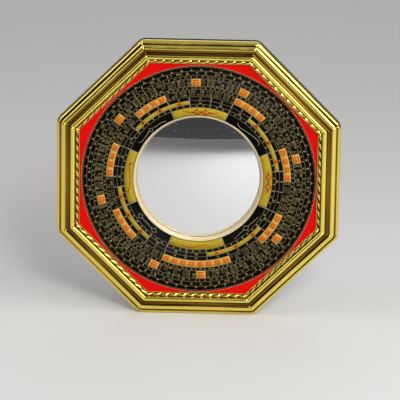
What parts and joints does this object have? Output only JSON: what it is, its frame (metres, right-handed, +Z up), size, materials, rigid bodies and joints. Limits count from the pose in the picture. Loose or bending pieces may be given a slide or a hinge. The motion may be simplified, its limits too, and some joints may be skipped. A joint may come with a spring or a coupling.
{
  "type": "bagua mirror",
  "caption": "Octagonal gilt wall frame with a printed compass dial round a convex mirror, closed behind by a board on turn buttons, with a swinging hanging loop.",
  "frame": {"origin": "middle of the flat underside of the bottom rail, on which it stands", "axes": "+Z up, -Y out of the mirror towards the viewer, +X to the viewer's right"},
  "size_m": [0.25, 0.0223, 0.25],
  "materials": {
    "gilt_moulding": "bright gold foil on moulded plastic, mirror-like",
    "printed_dial": "satin print: black disc with gilt lines, yellow, orange and red fields, red corners",
    "silvered_glass": "convex, silvered behind",
    "pale_ring": "pale cream gloss",
    "foam_tape": "matte foam",
    "board": "raw fibreboard",
    "steel": "zinc plated",
    "brass_plate": "brass plated, satin"
  },
  "bodies": {
    "frame": {"rail_top": "gilt_moulding", "rail_top_right": "gilt_moulding", "rail_right": "gilt_moulding", "rail_bottom_right": "gilt_moulding", "rail_bottom": "gilt_moulding", "rail_bottom_left": "gilt_moulding", "rail_left": "gilt_moulding", "rail_top_left": "gilt_moulding", "corner_nail_1": "steel", "corner_nail_2": "steel", "corner_nail_3": "steel", "corner_nail_4": "steel", "corner_nail_5": "steel", "corner_nail_6": "steel", "corner_nail_7": "steel", "corner_nail_8": "steel", "dial_plate": "printed_dial", "dial_board": "board", "mirror_glass": "silvered_glass", "mirror_ring": "pale_ring", "mirror_tape": "foam_tape", "backing_board": "board", "turn_button_screw_top_right": "steel", "turn_button_screw_bottom_right": "steel", "turn_button_screw_bottom_left": "steel", "turn_button_screw_top_left": "steel", "hanger_strap": "brass_plate", "hanger_screw": "steel"},
    "turn_button_top_right": {"turn_button_top_right": "steel"},
    "turn_button_bottom_right": {"turn_button_bottom_right": "steel"},
    "turn_button_bottom_left": {"turn_button_bottom_left": "steel"},
    "turn_button_top_left": {"turn_button_top_left": "steel"},
    "hanger_loop": {"hanger_loop": "brass_plate"}
  },
  "joints": [
    {"name": "turn_button_top_right_turn", "type": "hinge", "parent": "frame", "child": "turn_button_top_right", "pos_m": [0.08273, 0.0079, 0.20773], "axis": [0, 1, 0], "continuous": true},
    {"name": "turn_button_bottom_right_turn", "type": "hinge", "parent": "frame", "child": "turn_button_bottom_right", "pos_m": [0.08273, 0.0079, 0.04227], "axis": [0, 1, 0], "continuous": true},
    {"name": "turn_button_bottom_left_turn", "type": "hinge", "parent": "frame", "child": "turn_button_bottom_left", "pos_m": [-0.08273, 0.0079, 0.04227], "axis": [0, 1, 0], "continuous": true},
    {"name": "turn_button_top_left_turn", "type": "hinge", "parent": "frame", "child": "turn_button_top_left", "pos_m": [-0.08273, 0.0079, 0.20773], "axis": [0, 1, 0], "continuous": true},
    {"name": "hanger_loop_swing", "type": "hinge", "parent": "frame", "child": "hanger_loop", "pos_m": [0, 0.0092, 0.227], "axis": [1, 0, 0], "range_deg": [0, 180]}
  ]
}
